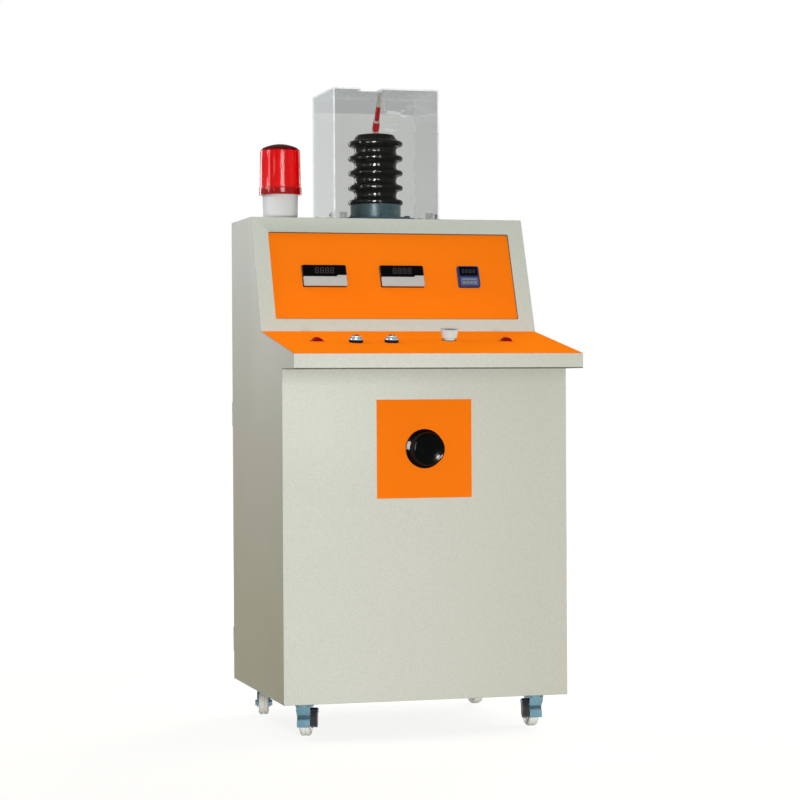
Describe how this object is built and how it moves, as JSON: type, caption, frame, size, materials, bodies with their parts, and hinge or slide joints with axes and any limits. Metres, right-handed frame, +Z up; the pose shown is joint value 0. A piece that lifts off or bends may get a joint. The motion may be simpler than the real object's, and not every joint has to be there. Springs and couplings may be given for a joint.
{
  "type": "high voltage tester",
  "caption": "Mobile high voltage test cabinet with a sloping desk, panel meters, a regulator knob, a warning beacon and a covered output bushing on casters.",
  "frame": {"origin": "floor level, in the middle of the overall length and width", "axes": "+Z up; -Y to the operator, where the desk and the knob are; +X to the operator's right"},
  "size_m": [0.6, 0.6192, 1.35],
  "materials": {
    "cabinet_paint": "pale warm grey powder coat",
    "panel_paint": "orange paint, satin",
    "zinc": "zinc plated steel",
    "bright_steel": "bright plated metal",
    "screw_steel": "plain steel",
    "black_plastic": "moulded, satin",
    "knob_plastic": "moulded, glossy",
    "timer_plastic": "blue moulded",
    "window_plastic": "dark filter window",
    "cover_plastic": "light grey moulded",
    "rocker_plastic": "dark red translucent",
    "cap_plastic": "pale moulded",
    "tank_paint": "blue-grey paint",
    "bushing_resin": "glossy black cast resin",
    "electrode_plastic": "pale insulating tube",
    "sleeve_red": "red insulating sleeve",
    "clear_plastic": "clear sheet",
    "beacon_grey": "grey moulded",
    "lens_red": "red translucent",
    "lamp_white": "lamp holder and bulb",
    "core_iron": "laminated core",
    "winding_copper": "copper winding",
    "gear_plastic": "dark grey moulded",
    "stud_brass": "brass",
    "wheel_plastic": "white nylon"
  },
  "bodies": {
    "cabinet": {"side_panel_left": "cabinet_paint", "side_panel_right": "cabinet_paint", "front_panel": "cabinet_paint", "base_tray": "cabinet_paint", "top_panel": "cabinet_paint", "console_bezel": "cabinet_paint", "instrument_panel": "panel_paint", "desk_sheet": "cabinet_paint", "desk_plate": "panel_paint", "rear_panel": "cabinet_paint", "door_hinges": "zinc", "chassis": "zinc", "regulator_plate": "panel_paint", "meter_cases": "black_plastic", "display_windows": "window_plastic", "instrument_covers": "cover_plastic", "timer_case": "timer_plastic", "switch_frames": "black_plastic", "button_bezels": "bright_steel", "contact_blocks": "black_plastic", "transformer_tank": "tank_paint", "tank_lid": "tank_paint", "transformer_core": "core_iron", "transformer_winding": "winding_copper", "bushing": "bushing_resin", "roof_flange": "tank_paint", "electrode_rod": "electrode_plastic", "electrode_sleeves": "sleeve_red", "clear_cover": "clear_plastic", "cover_brackets": "screw_steel", "beacon_base": "beacon_grey", "beacon_lens": "lens_red", "beacon_lamp": "lamp_white", "regulator_frame": "zinc", "regulator_core": "core_iron", "regulator_winding": "winding_copper", "control_gear": "gear_plastic", "cable_gland": "black_plastic", "earth_stud": "stud_brass", "caster_plates": "zinc"},
    "regulator": {"knob": "knob_plastic", "regulator_rotor": "screw_steel"},
    "button_left": {"button_cap_left": "bright_steel"},
    "button_right": {"button_cap_right": "bright_steel"},
    "mushroom_button": {"mushroom_cap": "cap_plastic"},
    "rocker_left": {"rocker_left": "rocker_plastic"},
    "rocker_right": {"rocker_right": "rocker_plastic"},
    "beacon_reflector": {"beacon_reflector": "bright_steel"},
    "rear_door": {"rear_door": "cabinet_paint"},
    "door_lock": {"door_lock": "bright_steel"},
    "caster_front_left": {"fork_front_left": "zinc"},
    "wheel_front_left": {"wheel_front_left": "wheel_plastic"},
    "caster_front_right": {"fork_front_right": "zinc"},
    "wheel_front_right": {"wheel_front_right": "wheel_plastic"},
    "caster_rear_left": {"fork_rear_left": "zinc"},
    "wheel_rear_left": {"wheel_rear_left": "wheel_plastic"},
    "caster_rear_right": {"fork_rear_right": "zinc"},
    "wheel_rear_right": {"wheel_rear_right": "wheel_plastic"},
    "brake_left": {"brake_left": "black_plastic"},
    "brake_right": {"brake_right": "black_plastic"}
  },
  "joints": [
    {"name": "regulator_turn", "type": "hinge", "parent": "cabinet", "child": "regulator", "pos_m": [-0.005, -0.2045, 0.583], "axis": [0, 1, 0], "range_deg": [0, 300]},
    {"name": "button_left_press", "type": "slide", "parent": "cabinet", "child": "button_left", "axis": [0, 0.1649, -0.9863], "range_m": [0, 0.003], "stiffness_N_per_m": 400, "springref_m": -0.004},
    {"name": "button_right_press", "type": "slide", "parent": "cabinet", "child": "button_right", "axis": [0, 0.1649, -0.9863], "range_m": [0, 0.003], "stiffness_N_per_m": 400, "springref_m": -0.004},
    {"name": "mushroom_press", "type": "slide", "parent": "cabinet", "child": "mushroom_button", "axis": [0, 0.1649, -0.9863], "range_m": [0, 0.004], "stiffness_N_per_m": 400, "springref_m": -0.004},
    {"name": "rocker_left_tilt", "type": "hinge", "parent": "cabinet", "child": "rocker_left", "pos_m": [-0.215, -0.15333, 0.79909], "axis": [0, 0.9863, 0.1649], "range_deg": [-24, 0]},
    {"name": "rocker_right_tilt", "type": "hinge", "parent": "cabinet", "child": "rocker_right", "pos_m": [0.188, -0.15333, 0.79909], "axis": [0, 0.9863, 0.1649], "range_deg": [0, 24]},
    {"name": "beacon_spin", "type": "hinge", "parent": "cabinet", "child": "beacon_reflector", "pos_m": [-0.217, 0.1675, 1.137], "axis": [0, 0, 1], "continuous": true},
    {"name": "rear_door_swing", "type": "hinge", "parent": "cabinet", "child": "rear_door", "pos_m": [-0.295, 0.291, 0.4045], "axis": [0, 0, 1], "range_deg": [0, 110]},
    {"name": "door_lock_turn", "type": "hinge", "parent": "rear_door", "child": "door_lock", "pos_m": [0.262, 0.2855, 0.4045], "axis": [0, 1, 0], "range_deg": [0, 90]},
    {"name": "caster_front_left_swivel", "type": "hinge", "parent": "cabinet", "child": "caster_front_left", "pos_m": [-0.245, -0.1495, 0.0657], "axis": [0, 0, 1], "continuous": true},
    {"name": "wheel_front_left_roll", "type": "hinge", "parent": "caster_front_left", "child": "wheel_front_left", "pos_m": [-0.23768, -0.13306, 0.025], "axis": [0.9135, -0.4067, 0], "continuous": true},
    {"name": "caster_front_right_swivel", "type": "hinge", "parent": "cabinet", "child": "caster_front_right", "pos_m": [0.245, -0.1495, 0.0657], "axis": [0, 0, 1], "continuous": true},
    {"name": "wheel_front_right_roll", "type": "hinge", "parent": "caster_front_right", "child": "wheel_front_right", "pos_m": [0.24437, -0.13151, 0.025], "axis": [0.9994, 0.0349, 0], "continuous": true},
    {"name": "caster_rear_left_swivel", "type": "hinge", "parent": "cabinet", "child": "caster_rear_left", "pos_m": [-0.245, 0.2305, 0.0657], "axis": [0, 0, 1], "continuous": true},
    {"name": "wheel_rear_left_roll", "type": "hinge", "parent": "caster_rear_left", "child": "wheel_rear_left", "pos_m": [-0.24966, 0.21311, 0.025], "axis": [-0.9659, 0.2588, 0], "continuous": true},
    {"name": "caster_rear_right_swivel", "type": "hinge", "parent": "cabinet", "child": "caster_rear_right", "pos_m": [0.245, 0.2305, 0.0657], "axis": [0, 0, 1], "continuous": true},
    {"name": "wheel_rear_right_roll", "type": "hinge", "parent": "caster_rear_right", "child": "wheel_rear_right", "pos_m": [0.24126, 0.24811, 0.025], "axis": [0.9781, 0.2079, 0], "continuous": true},
    {"name": "brake_left_press", "type": "hinge", "parent": "caster_front_left", "child": "brake_left", "pos_m": [-0.24663, -0.15315, 0.0547], "axis": [0.9135, -0.4067, 0], "range_deg": [0, 20]},
    {"name": "brake_right_press", "type": "hinge", "parent": "caster_front_right", "child": "brake_right", "pos_m": [0.24514, -0.1535, 0.0547], "axis": [0.9994, 0.0349, 0], "range_deg": [0, 20]}
  ]
}
